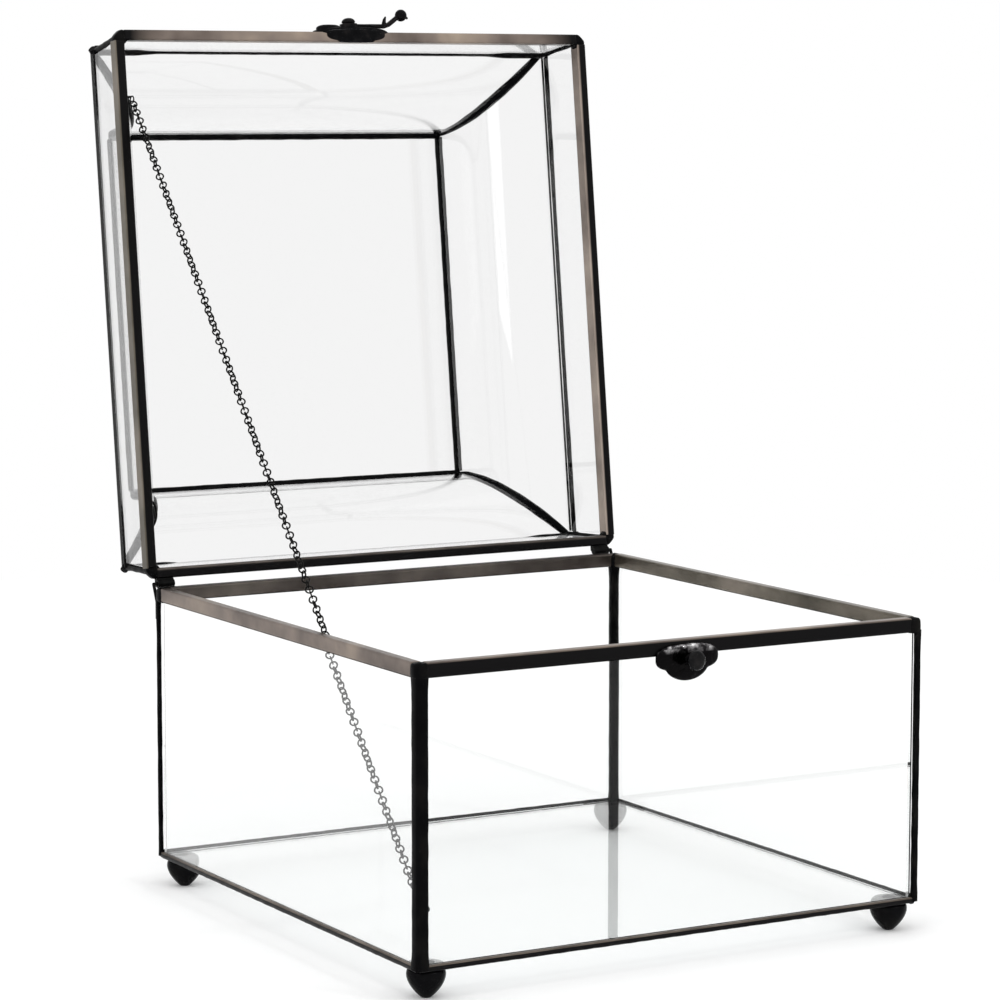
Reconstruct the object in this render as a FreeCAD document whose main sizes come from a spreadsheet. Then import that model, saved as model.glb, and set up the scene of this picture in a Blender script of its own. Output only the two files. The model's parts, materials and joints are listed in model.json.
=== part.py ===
import FreeCAD, Part
import math
import os
import re
import Sketcher

# Glass card box on ball feet: soldered panes in metal channel, hinged pagoda lid, chain stay, swing latch.
# Millimetres. X runs along the front, Y to the hinge side, Z up. The base is drawn about its own middle,
# and the lid shut in its own frame, then swung open about the hinge pins. Last, all of it is moved to the
# row's origin.

SIZES = {
    # Base
    "base_width": 256.0,
    "base_depth": 256.0,
    "rim_top": 142.5,
    "foot_height": 12.0,
    "glass": 2.5,
    "fit": 0.1,
    # Metal channel along the rims, and the thin seams
    "rail_height": 6.5,
    "rail_thick": 5.0,
    "rail_floor": 2.0,
    "sill_reach": 5.5,
    "sill_thick": 1.0,
    "post_leg": 5.5,
    "post_core": 4.0,
    "post_bevel": 1.4,
    "post_sag": 0.4,
    "post_flat": 0.8,
    # Feet
    "foot_inset": 9.2,
    "foot_radius": 8.4,
    "foot_tip_radius": 2.3,
    "foot_pad_radius": 3.4,
    "foot_shoulder": 8.6,
    "foot_bulge": 1.6,
    # Lid
    "lid_overhang": 2.0,
    "lid_gap": 0.3,
    "lid_corner_cut": 5.0,
    "lid_glass_inset": 0.9,
    "skirt_height": 35.4,
    "skirt_lean": 2.8,
    "skirt_corner": 4.2,
    "lid_height": 94.0,
    "top_inset_side": 36.7,
    "top_inset_front": 40.9,
    "cove_sag": 10.0,
    "seam_half": 0.7,
    "seam_proud": 0.6,
    "hip_half": 1.9,
    "hip_gap": 0.5,
    # Hinge
    "open_angle": 97.0,
    "hinge_back": 2.5,
    "hinge_up": 0.5,
    "tube_radius": 2.0,
    "tube_bore": 1.05,
    "tube_length": 8.6,
    "tube_from_edge": 4.6,
    "saddle_low": 0.5,
    "saddle_height": 3.2,
    "pin_radius": 0.8,
    "pin_drop": 16.0,
    # Latch and catch
    "latch_x": -3.0,
    "latch_up": 4.5,
    "latch_plate_width": 40.0,
    "latch_plate_height": 11.0,
    "latch_plate_thick": 2.0,
    "latch_crown": 1.0,
    "latch_stud_radius": 1.8,
    "latch_head_radius": 3.4,
    "latch_head_height": 2.6,
    "hook_thick": 2.2,
    "hook_play": 0.3,
    "hook_width": 4.6,
    "hook_reach": 21.0,
    "hook_eye_radius": 4.4,
    "hook_ball_radius": 2.7,
    "hook_tail_out": 5.6,
    "hook_tail_reach": 29.5,
    "hook_tail_radius": 1.3,
    "hook_prong_at": 21.0,
    "hook_prong_height": 4.4,
    "hook_prong_tip": 0.2,
    "latch_turn": 76.0,
    "catch_x": 3.2,
    "catch_drop": 8.2,
    "catch_width": 31.5,
    "catch_bow": 4.0,
    "catch_below_rim": 0.5,
    "catch_height": 12.1,
    "catch_lobe_half": 11.3,
    "catch_lobe_drop": 5.2,
    "catch_thick": 2.4,
    "catch_neck_radius": 2.0,
    "catch_head_radius": 4.4,
    "catch_head_height": 3.6,
    # Chain stay
    "link_outer": 4.0,
    "link_wire": 0.65,
    "link_pitch": 2.6,
    "link_twist": 7.0,
    "chain_lid_along": 33.0,
    "chain_lid_up": 2.2,
    "chain_lid_in": 7.8,
    "chain_base_in": 7.9,
    "chain_base_up": 26.0,
    "stem_radius": 0.55,
    # Spare staple on the lid's left rail
    "staple_at": 31.0,
    "staple_span": 13.0,
    "staple_rise": 2.6,
    "staple_radius": 0.5,
    "staple_up": 3.0,
}

V = FreeCAD.Vector
NEAR = 1e-6
SPARE = 20.0
doc = FreeCAD.newDocument("card_box")
sheet = doc.addObject("Spreadsheet::Sheet", "Sizes")
for row, (word, number) in enumerate(SIZES.items(), 1):
    sheet.set("A%d" % row, word)
    sheet.set("B%d" % row, repr(number))
    sheet.setAlias("B%d" % row, word)
doc.recompute()

WORD = re.compile(r"\b(" + "|".join(SIZES) + r")\b")
nodes = []


def size(word):
    """The number in the sheet's cell of that name."""
    return float(sheet.get(word))


def bound(text):
    """An expression on the sheet's cells."""
    return WORD.sub(r"Sizes.\1", text)


def number(text):
    return float(sheet.evalExpression(bound(text)))


def lid_half(text):
    """Half of the lid across the sides or from front to back."""
    return "(base_%s / 2 + lid_overhang)" % text


BASE = FreeCAD.Placement()
HINGE_Y = number(lid_half("depth") + " + hinge_back")
HINGE_Z = number("rim_top + lid_gap + hinge_up")
SHUT = FreeCAD.Placement(V(0, 0, number("rim_top + lid_gap")), FreeCAD.Rotation())
SWING = FreeCAD.Placement(V(0, 0, 0), FreeCAD.Rotation(V(1, 0, 0), -size("open_angle")), V(0, HINGE_Y, HINGE_Z))
LID = SWING.multiply(SHUT)


def plane_of(body, role):
    for feature in body.Origin.OriginFeatures:
        if feature.Role == role:
            return feature
    raise ValueError(role)


def new_body(label, placement):
    body = doc.addObject("PartDesign::Body", label)
    body.Label = label
    body.Placement = placement
    nodes.append(body)
    return body


def sketch(body, role, points, offset="0"):
    """A closed outline. A point is (x, y) or (x, y, sag): sag bows the edge that starts there to its right."""
    outline = body.newObject("Sketcher::SketchObject", body.Name + "_outline")
    outline.AttachmentSupport = [(plane_of(body, role), "")]
    outline.MapMode = "FlatFace"
    outline.setExpression("AttachmentOffset.Base.z", bound(offset))
    spots = [V(number(p[0]), number(p[1]), 0) for p in points]
    count = len(points)
    for i, point in enumerate(points):
        start, end = spots[i], spots[(i + 1) % count]
        if len(point) == 2:
            outline.addGeometry(Part.LineSegment(start, end), False)
            continue
        along = (end - start).normalize()
        sag = number(point[2])
        middle = (start + end) * 0.5 + V(along.y, -along.x, 0) * sag
        # Arcs run counter-clockwise, so one that bows to the left is drawn from its far end.
        ends = (start, end) if sag > 0 else (end, start)
        outline.addGeometry(Part.Arc(ends[0], middle, ends[1]), False)
    for i in range(count):
        here, there = outline.Geometry[i], outline.Geometry[(i + 1) % count]
        tail = 2 if here.EndPoint.distanceToPoint(spots[(i + 1) % count]) < NEAR else 1
        head = 1 if there.StartPoint.distanceToPoint(spots[(i + 1) % count]) < NEAR else 2
        outline.addConstraint(Sketcher.Constraint("Coincident", i, tail, (i + 1) % count, head))
    for i, point in enumerate(points):
        head = 1 if outline.Geometry[i].StartPoint.distanceToPoint(spots[i]) < NEAR else 2
        for kind, text, value in (("DistanceX", point[0], spots[i].x), ("DistanceY", point[1], spots[i].y)):
            k = outline.addConstraint(Sketcher.Constraint(kind, -1, 1, i, head, value))
            outline.setExpression("Constraints[%d]" % k, bound(text))
    for i, point in enumerate(points):
        if len(point) == 3:
            nxt = points[(i + 1) % count]
            chord = "((%s) - (%s))^2 + ((%s) - (%s))^2" % (nxt[0], point[0], nxt[1], point[1])
            radius = "((%s) / 4 + (%s)^2) / (2 * abs(%s))" % (chord, point[2], point[2])
            k = outline.addConstraint(Sketcher.Constraint("Radius", i, number(radius)))
            outline.setExpression("Constraints[%d]" % k, bound(radius))
    return outline


def pad(body, role, points, length, offset="0", middle=False):
    feature = body.newObject("PartDesign::Pad", body.Name + "_pad")
    feature.Profile = sketch(body, role, points, offset)
    feature.Midplane = middle
    feature.setExpression("Length", bound(length))
    return feature


def turned(label, points, placement):
    """A body of revolution about the Z axis of its own frame, outline in (radius, height)."""
    body = new_body(label, placement)
    feature = body.newObject("PartDesign::Revolution", label + "_turn")
    outline = sketch(body, "XZ_Plane", points)
    feature.Profile = outline
    feature.ReferenceAxis = (outline, ["V_Axis"])
    feature.Angle = 360
    return body


def dome(radius, height):
    """Sag of a dome's outline, so that its arc is centred on the axis."""
    ball = "((%s)^2 + (%s)^2) / (2 * (%s))" % (radius, height, height)
    return "(%s) - sqrt((%s)^2 - ((%s)^2 + (%s)^2) / 4)" % (ball, ball, radius, height)


def bar(label, side, half, profile, length, placement):
    """A straight piece along one side. The profile is (inset from the outer face, height[, sag])."""
    body = new_body(label, placement)
    sign = "-1" if side in ("front", "left") else "1"
    role = "YZ_Plane" if side in ("front", "back") else "XZ_Plane"
    points = [("%s * (%s - (%s))" % (sign, half, p[0]),) + tuple(p[1:]) for p in profile]
    pad(body, role, points, length, middle=True)
    return body


def solid(label, shape, placement):
    """A piece whose shape follows a curve that no outline gives."""
    piece = doc.addObject("Part::Feature", label)
    piece.Label = label
    piece.Shape = shape
    piece.Placement = placement.multiply(shape.Placement)
    nodes.append(piece)
    return piece


def polygon(points):
    return Part.Face(Part.makePolygon(list(points) + [points[0]]))


def box_profile(n0, n1, z0, z1):
    return [(n0, z0), (n1, z0), (n1, z1), (n0, z1)]


HALF = {"front": "base_depth / 2", "back": "base_depth / 2", "left": "base_width / 2", "right": "base_width / 2"}
ALONG = {"front": "base_width", "back": "base_width", "left": "base_depth", "right": "base_depth"}
LID_HALF = {side: "(%s + lid_overhang)" % HALF[side] for side in HALF}
LID_ALONG = {side: "(%s + 2 * lid_overhang)" % ALONG[side] for side in ALONG}
SIDES = ("front", "back", "left", "right")
CORNERS = {"front_left": (-1, -1), "front_right": (1, -1), "back_left": (-1, 1), "back_right": (1, 1)}

# Base: panes, rim channel, sills
WALL_IN = "(rail_thick - glass) / 2"
RIM_LOW = "rim_top - rail_height"
SILL_TOP = "foot_height + sill_thick + glass + fit"
for side in SIDES:
    low, high = "foot_height + sill_thick + fit", "rim_top - rail_floor - fit"
    wall = box_profile(WALL_IN, WALL_IN + " + glass", low, high)
    bar("base_%s_glass" % side, side, HALF[side], wall, ALONG[side] + " - 2 * (post_core + fit)", BASE)
    channel = [
        ("0", RIM_LOW),
        (WALL_IN + " - fit", RIM_LOW),
        (WALL_IN + " - fit", "rim_top - rail_floor"),
        (WALL_IN + " + glass + fit", "rim_top - rail_floor"),
        (WALL_IN + " + glass + fit", RIM_LOW),
        ("rail_thick", RIM_LOW),
        ("rail_thick", "rim_top"),
        ("0", "rim_top"),
    ]
    bar("base_rim_%s" % side, side, HALF[side], channel, ALONG[side] + " - 2 * rail_thick", BASE)
    sill = [
        ("0", "foot_height"),
        ("sill_reach", "foot_height"),
        ("sill_reach", "foot_height + sill_thick"),
        (WALL_IN + " - fit", "foot_height + sill_thick"),
        (WALL_IN + " - fit", SILL_TOP),
        ("0", SILL_TOP),
    ]
    inset = "0" if side in ("front", "back") else "2 * sill_reach"
    bar("base_sill_%s" % side, side, HALF[side], sill, ALONG[side] + " - " + inset, BASE)

floor_pane = new_body("base_bottom_glass", BASE)
fx = "(base_width / 2 - (%s) - glass - fit)" % WALL_IN
fy = "(base_depth / 2 - (%s) - glass - fit)" % WALL_IN
pad(floor_pane, "XY_Plane", [("-" + fx, "-" + fy), (fx, "-" + fy), (fx, fy), ("-" + fx, fy)],
    "glass", "foot_height + sill_thick")


def corner_points(sx, sy, half_x, half_y, points):
    """Outline near one corner: points are insets from the corner's two outer faces."""
    placed = []
    for p in points:
        x = "%d * (%s - (%s))" % (sx, half_x, p[0])
        y = "%d * (%s - (%s))" % (sy, half_y, p[1])
        # Sag turns with the outline, so it changes sign where one axis is mirrored.
        placed.append((x, y) + tuple("%d * (%s)" % (sx * sy, sag) for sag in p[2:]))
    return placed


# Base: corner posts with a slot for each pane, soldered rim corners, ball feet
SLOT_OUT = WALL_IN + " - fit"
SLOT_IN = WALL_IN + " + glass + fit"
for corner, (sx, sy) in CORNERS.items():
    post = new_body("base_post_%s" % corner, BASE)
    section = [
        ("post_bevel", "0"),
        ("post_leg", "0"),
        ("post_leg", SLOT_OUT),
        ("post_core", SLOT_OUT),
        ("post_core", SLOT_IN),
        ("post_leg", SLOT_IN),
        ("post_leg", "post_leg - post_flat"),
        ("post_leg - post_flat", "post_leg"),
        (SLOT_IN, "post_leg"),
        (SLOT_IN, "post_core"),
        (SLOT_OUT, "post_core"),
        (SLOT_OUT, "post_leg"),
        ("0", "post_leg"),
        ("0", "post_bevel", "post_sag"),
    ]
    pad(post, "XY_Plane", corner_points(sx, sy, "base_width / 2", "base_depth / 2", section),
        "%s - (%s)" % (RIM_LOW, SILL_TOP), SILL_TOP)

    where = V(sx * number("base_width / 2 - foot_inset"), sy * number("base_depth / 2 - foot_inset"), 0)
    turned("foot_%s" % corner, [
        ("0", "0"),
        ("foot_tip_radius", "0", "foot_bulge"),
        ("foot_radius", "foot_shoulder"),
        ("foot_radius", "foot_height"),
        ("foot_pad_radius", "foot_height"),
        ("foot_pad_radius", "foot_height + sill_thick"),
        ("0", "foot_height + sill_thick"),
    ], FreeCAD.Placement(where, FreeCAD.Rotation()))

# Lid: rim channel with cut corners
LEAN = "(skirt_lean / skirt_height)"
for side in SIDES:
    inner = "lid_glass_inset + glass + fit + %s * " % LEAN
    outer = "lid_glass_inset - fit + %s * " % LEAN
    channel = [
        ("0", "0"),
        ("rail_thick", "0"),
        ("rail_thick", "rail_height"),
        (inner + "rail_height", "rail_height"),
        (inner + "rail_floor", "rail_floor"),
        (outer + "rail_floor", "rail_floor"),
        (outer + "rail_height", "rail_height"),
        ("0", "rail_height"),
    ]
    bar("lid_rim_%s" % side, side, LID_HALF[side], channel, LID_ALONG[side] + " - 2 * lid_corner_cut", LID)


def corner_blocks(half_x, half_y, insets, low):
    """Solder that closes the four corners of a rim, from an outline of insets from the corner's outer faces."""
    blocks = []
    for sx, sy in CORNERS.values():
        ring = []
        for a, b in insets:
            spot = V(sx * (half_x - a), sy * (half_y - b), low)
            if not ring or spot.distanceToPoint(ring[-1]) > NEAR:
                ring.append(spot)
        blocks.append(polygon(ring).extrude(V(0, 0, size("rail_height"))))
    return Part.makeCompound(blocks)


THICK = size("rail_thick")
BEVEL = size("post_bevel")
CUT = size("lid_corner_cut")
ROUND = BEVEL / 2 - size("post_sag") / math.sqrt(2)
rounded = [(BEVEL, 0), (THICK, 0), (THICK, THICK), (0, THICK), (0, BEVEL), (ROUND, ROUND)]
blocks = corner_blocks(number("base_width / 2"), number("base_depth / 2"), rounded, number(RIM_LOW))
slot_way = number(SLOT_IN) - number(SLOT_OUT)
slot_up = size("rail_height") - size("rail_floor")
long_x = number("base_width / 2 - post_core")
long_y = number("base_depth / 2 - post_core")
for near in (number("base_depth / 2 - (%s)" % SLOT_IN), -number("base_depth / 2 - (%s)" % SLOT_OUT)):
    blocks = blocks.cut(Part.makeBox(2 * long_x, slot_way, slot_up, V(-long_x, near, number(RIM_LOW))))
for near in (number("base_width / 2 - (%s)" % SLOT_IN), -number("base_width / 2 - (%s)" % SLOT_OUT)):
    blocks = blocks.cut(Part.makeBox(slot_way, 2 * long_y, slot_up, V(near, -long_y, number(RIM_LOW))))
solid("base_rim_corners", blocks, BASE)
cut_off = [(CUT, 0), (CUT, THICK), (THICK, CUT), (0, CUT)]
solid("lid_rim_corners", corner_blocks(number(lid_half("width")), number(lid_half("depth")), cut_off, 0), LID)

# Lid: leaning skirt panes and the strips that close their corners
HX = number(lid_half("width"))
HY = number(lid_half("depth"))
GLASS = size("glass")
FIT = size("fit")
SEAM = size("seam_half")
SKIRT_TOP = size("skirt_height")


def lean(z):
    return number("lid_glass_inset") + size("skirt_lean") / SKIRT_TOP * z


def frustum(low, high):
    """A solid between two polygons with as many corners."""
    return Part.makeLoft([Part.makePolygon(list(w) + [w[0]]) for w in (low, high)], True, True)


def skirt_ring(z, side):
    n = lean(z)
    reach = (HX if side in ("front", "back") else HY) - n - size("skirt_corner")
    out = (HY if side in ("front", "back") else HX) - n
    flat = [(-reach, out), (reach, out), (reach, out - GLASS), (-reach, out - GLASS)]
    if side == "front":
        return [V(a, -b, z) for a, b in flat]
    if side == "back":
        return [V(a, b, z) for a, b in flat]
    if side == "left":
        return [V(-b, a, z) for a, b in flat]
    return [V(b, a, z) for a, b in flat]


for side in SIDES:
    low = skirt_ring(size("rail_floor") + FIT, side)
    high = skirt_ring(SKIRT_TOP - SEAM - FIT, side)
    solid("lid_skirt_glass_%s" % side, frustum(low, high), LID)


def strip_ring(z, sx, sy):
    n = lean(z)
    e = size("skirt_corner") - FIT
    flat = [(n + e, n), (n + e, n + GLASS), (n + GLASS, n + e), (n, n + e)]
    return [V(sx * (HX - a), sy * (HY - b), z) for a, b in flat]


strips = []
for sx, sy in CORNERS.values():
    strips.append(frustum(strip_ring(size("rail_height"), sx, sy), strip_ring(SKIRT_TOP, sx, sy)))
solid("lid_skirt_corner_seams", Part.makeCompound(strips), LID)

# Lid: bowed cove panes, each an arc between the skirt's seam and the top frame
SHOULDER_IN = lean(SKIRT_TOP)
TOP = size("lid_height")
COVE_TOP = TOP - GLASS - 2 * SEAM - 2 * FIT
INSET = {"front": size("top_inset_front"), "back": size("top_inset_front"),
         "left": size("top_inset_side"), "right": size("top_inset_side")}


def cove(inset):
    """Ends, centre and radius of the outer face's arc, in (inset, height)."""
    a = V(SHOULDER_IN, SKIRT_TOP + SEAM + GLASS, 0)
    b = V(inset, COVE_TOP, 0)
    along = (b - a).normalize()
    sag = size("cove_sag")
    half = a.distanceToPoint(b) / 2
    radius = (half * half + sag * sag) / (2 * sag)
    # The hollow faces out, so the centre lies outside and above.
    centre = (a + b) * 0.5 + V(-along.y, along.x, 0) * (radius - sag)
    return a, b, centre, radius


def cove_face(inset, grow, lift=0.0):
    """Section of the bowed pane, thickened by grow on both faces and shortened by lift at its ends."""
    a, b, centre, radius = cove(inset)
    first, last = (a - centre), (b - centre)
    start = math.atan2(first.y, first.x) + lift / radius
    stop = math.atan2(last.y, last.x) - lift / radius

    def at(r, angle):
        return centre + V(r * math.cos(angle), r * math.sin(angle), 0)

    near, far = radius - grow, radius + GLASS + grow
    mid = (start + stop) / 2
    edges = [
        Part.Arc(at(near, start), at(near, mid), at(near, stop)).toShape(),
        Part.LineSegment(at(near, stop), at(far, stop)).toShape(),
        Part.Arc(at(far, stop), at(far, mid), at(far, start)).toShape(),
        Part.LineSegment(at(far, start), at(near, start)).toShape(),
    ]
    return Part.Face(Part.Wire(edges))


def stand(face, side):
    """Turns a section from (inset, height) to its side of the lid and runs it the side's whole length."""
    if side in ("left", "right"):
        sign = 1 if side == "right" else -1
        turn = FreeCAD.Matrix(-sign, 0, 0, sign * HX, 0, 0, 1, -HY, 0, 1, 0, 0, 0, 0, 0, 1)
        face = face.transformGeometry(turn)
        return face.extrude(V(0, 2 * HY, 0))
    sign = 1 if side == "back" else -1
    turn = FreeCAD.Matrix(0, 0, 1, -HX, -sign, 0, 0, sign * HY, 0, 1, 0, 0, 0, 0, 0, 1)
    face = face.transformGeometry(turn)
    return face.extrude(V(2 * HX, 0, 0))


HIP_START = V(HX - SHOULDER_IN, HY - SHOULDER_IN, 0)
HIP_END = V(HX - INSET["right"], HY - INSET["front"], 0)
HIP_WAY = (HIP_END - HIP_START).normalize()
HIP_SIDE = V(-HIP_WAY.y, HIP_WAY.x, 0)


def fan(side, gap):
    """The part of the plan that belongs to one side's pane, kept off the hips by gap."""
    # On the right and back corner the hip runs inwards, and HIP_SIDE points from it to one of the two panes.
    toward = HIP_SIDE if HIP_SIDE.x > 0 else HIP_SIDE * -1
    if side in ("front", "back"):
        toward = toward * -1
    inner = HIP_END + HIP_WAY * SPARE + toward * gap
    outer = HIP_START - HIP_WAY * SPARE + toward * gap
    if side in ("left", "right"):
        s = 1 if side == "right" else -1
        ring = [V(s * outer.x, -outer.y, 0), V(s * inner.x, -inner.y, 0), V(s * inner.x, inner.y, 0),
                V(s * outer.x, outer.y, 0)]
    else:
        s = 1 if side == "back" else -1
        ring = [V(-outer.x, s * outer.y, 0), V(-inner.x, s * inner.y, 0), V(inner.x, s * inner.y, 0),
                V(outer.x, s * outer.y, 0)]
    return polygon(ring).extrude(V(0, 0, TOP + SPARE))


for side in SIDES:
    pane = stand(cove_face(INSET[side], 0), side).common(fan(side, size("hip_gap")))
    solid("lid_cove_glass_%s" % side, pane, LID)

# Lid: hip seams, grooved bars that follow the coves and hold the panes' edges
PROUD = size("seam_proud")
HIP_OFF = HIP_SIDE * size("hip_half")
before, after = HIP_START - HIP_WAY * SPARE, HIP_END + HIP_WAY * SPARE
band = polygon([before + HIP_OFF, after + HIP_OFF, after - HIP_OFF, before - HIP_OFF])
band = band.extrude(V(0, 0, TOP + SPARE))
halves = []
for side in ("back", "right"):
    lump = stand(cove_face(INSET[side], PROUD, FIT), side).common(fan(side, 0)).common(band)
    groove = stand(cove_face(INSET[side], FIT), side).common(fan(side, size("hip_gap") - FIT))
    halves.append(lump.cut(groove))
hip = halves[0].fuse(halves[1]).removeSplitter()
for corner, (sx, sy) in CORNERS.items():
    shape = hip.copy()
    if sx < 0:
        shape = shape.mirror(V(0, 0, 0), V(1, 0, 0))
    if sy < 0:
        shape = shape.mirror(V(0, 0, 0), V(0, 1, 0))
    solid("lid_hip_%s" % corner, shape, LID)

# Lid: shoulder seams between skirt and cove
shoulders = []
SHOULDER_END = GLASS + PROUD + size("hip_half") * math.sqrt(2) + FIT
for side in SIDES:
    a, b, centre, radius = cove(INSET[side])
    inward = (a - centre).normalize()
    back_off = V(-inward.y, inward.x, 0) * -FIT
    low_end = a + inward * GLASS + back_off
    high_end = a + back_off
    if back_off.x > 0:
        low_end = a + inward * GLASS - back_off
        high_end = a - back_off
    ring = [V(SHOULDER_IN - PROUD, SKIRT_TOP - SEAM, 0), V(SHOULDER_IN + GLASS + PROUD, SKIRT_TOP - SEAM, 0),
            V(SHOULDER_IN + GLASS + PROUD, SKIRT_TOP + SEAM, 0), low_end, high_end,
            V(SHOULDER_IN - PROUD, high_end.y, 0)]
    reach = (HX if side in ("front", "back") else HY) - SHOULDER_IN - SHOULDER_END
    keep = Part.makeBox(2 * reach, 4 * HY, 4 * TOP, V(-reach, -2 * HY, -TOP))
    if side in ("left", "right"):
        keep = Part.makeBox(4 * HX, 2 * reach, 4 * TOP, V(-2 * HX, -reach, -TOP))
    shoulders.append(stand(polygon(ring), side).common(keep))
solid("lid_shoulder_seams", Part.makeCompound(shoulders), LID)

# Lid: flat top pane in its frame of angle strips
TOP_IN = dict.fromkeys(("front", "back"), "top_inset_front")
TOP_IN.update(dict.fromkeys(("left", "right"), "top_inset_side"))
FRAME_LOW = "lid_height - glass - 2 * seam_half + fit"
for side in SIDES:
    n = TOP_IN[side]
    strip = [
        (n + " - seam_proud", FRAME_LOW),
        (n + " + glass + seam_proud", FRAME_LOW),
        (n + " + glass + seam_proud", "lid_height - glass - fit"),
        (n + " + seam_half", "lid_height - glass - fit"),
        (n + " + seam_half", "lid_height + fit"),
        (n + " - seam_proud", "lid_height + fit"),
    ]
    across = TOP_IN["left" if side in ("front", "back") else "front"]
    ends = " - 2 * (%s - seam_proud)" % across
    if side in ("left", "right"):
        ends = " - 2 * (%s + glass + seam_proud)" % across
    bar("lid_top_frame_%s" % side, side, LID_HALF[side], strip, LID_ALONG[side] + ends, LID)

top_pane = new_body("lid_top_glass", LID)
tx = "(%s - top_inset_side - seam_half - fit)" % lid_half("width")
ty = "(%s - top_inset_front - seam_half - fit)" % lid_half("depth")
corners = [("-" + tx, "-" + ty), (tx, "-" + ty), (tx, ty), ("-" + tx, ty)]
pad(top_pane, "XY_Plane", corners, "glass", "lid_height - glass")


# Hinge: short tubes under the ends of the lid's rear rail, bent wire pins on the base's rear posts
def tube(sign):
    middle = sign * number(lid_half("width") + " - tube_from_edge - tube_length / 2")
    long = size("tube_length")
    y = HY + size("hinge_back")
    z = size("hinge_up")
    r = size("tube_radius")
    barrel = Part.makeCylinder(r, long, V(middle - long / 2, y, z), V(1, 0, 0))
    saddle = Part.makeBox(long, size("hinge_back"), size("saddle_height"),
                         V(middle - long / 2, HY, z - size("saddle_low")))
    bore = Part.makeCylinder(size("tube_bore"), long, V(middle - long / 2, y, z), V(1, 0, 0))
    return barrel.fuse(saddle).cut(bore).removeSplitter()


def rod(points, radius):
    """A bent round wire through the points, with ball-shaped bends."""
    shape = None
    for start, end in zip(points, points[1:]):
        piece = Part.makeCylinder(radius, start.distanceToPoint(end), start, end - start)
        shape = piece if shape is None else shape.fuse(piece)
    for bend in points[1:-1]:
        shape = shape.fuse(Part.makeSphere(radius, bend))
    return shape.removeSplitter()


def pin(sign):
    inner = sign * number(lid_half("width") + " - tube_from_edge - tube_length")
    outer = sign * number("base_width / 2 - pin_radius - fit")
    touch = number("base_depth / 2 + pin_radius + fit")
    fall = size("pin_drop")
    return rod([V(inner, HINGE_Y, HINGE_Z), V(outer, HINGE_Y, HINGE_Z), V(outer, touch, HINGE_Z - fall / 2),
                V(outer, touch, HINGE_Z - fall)], size("pin_radius"))


for word, sign in (("left", -1), ("right", 1)):
    solid("hinge_tube_%s" % word, tube(sign), LID)
    solid("hinge_pin_%s" % word, pin(sign), BASE)

# Catch on the base's front rail: lozenge plate with a hanging lobe, necked knob
FACE_Y = -number("base_depth / 2")
CATCH = V(size("catch_x"), FACE_Y, number("rim_top - catch_drop"))
catch_plate = new_body("catch_plate", BASE)
left = "catch_x - catch_width / 2 + catch_bow"
right = "catch_x + catch_width / 2 - catch_bow"
high = "rim_top - catch_below_rim"
low = "(rim_top - catch_below_rim - catch_height)"
pad(catch_plate, "XZ_Plane", [
    (left, low),
    ("catch_x - catch_lobe_half", low, "catch_lobe_drop"),
    ("catch_x + catch_lobe_half", low),
    (right, low, "catch_bow"),
    (right, high),
    (left, high, "catch_bow"),
], "catch_thick", "base_depth / 2")

FACING = FreeCAD.Rotation(V(1, 0, 0), 90)
NECK = "(lid_overhang + latch_plate_thick + hook_thick + 2 * hook_play - catch_thick)"
turned("catch_knob", [
    ("0", "0"),
    ("catch_neck_radius", "0"),
    ("catch_neck_radius", NECK),
    ("catch_head_radius", NECK, dome("catch_head_radius", "catch_head_height")),
    ("0", NECK + " + catch_head_height"),
], FreeCAD.Placement(CATCH + V(0, -size("catch_thick"), 0), FACING))

# Latch on the lid's front rail: plate, pivot stud with a domed head, swinging hook
latch_plate = new_body("latch_plate", LID)
lx, lz = "latch_x", "latch_up"
pad(latch_plate, "XZ_Plane", [
    (lx + " - latch_plate_width / 2", "fit"),
    (lx + " + latch_plate_width / 2", "fit"),
    (lx + " + latch_plate_width / 4", lz + " + latch_plate_height / 4"),
    (lx + " + latch_plate_height / 3", lz + " + latch_plate_height / 2", "latch_crown"),
    (lx + " - latch_plate_height / 3", lz + " + latch_plate_height / 2"),
    (lx + " - latch_plate_width / 4", lz + " + latch_plate_height / 4"),
], "latch_plate_thick", lid_half("depth"))

PIVOT = V(size("latch_x"), -HY - size("latch_plate_thick"), size("latch_up"))
turned("latch_stud", [
    ("0", "0"),
    ("latch_stud_radius", "0"),
    ("latch_stud_radius", "hook_thick + 2 * hook_play"),
    ("latch_head_radius", "hook_thick + 2 * hook_play", dome("latch_head_radius", "latch_head_height")),
    ("0", "hook_thick + 2 * hook_play + latch_head_height"),
], LID.multiply(FreeCAD.Placement(PIVOT, FACING)))


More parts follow.
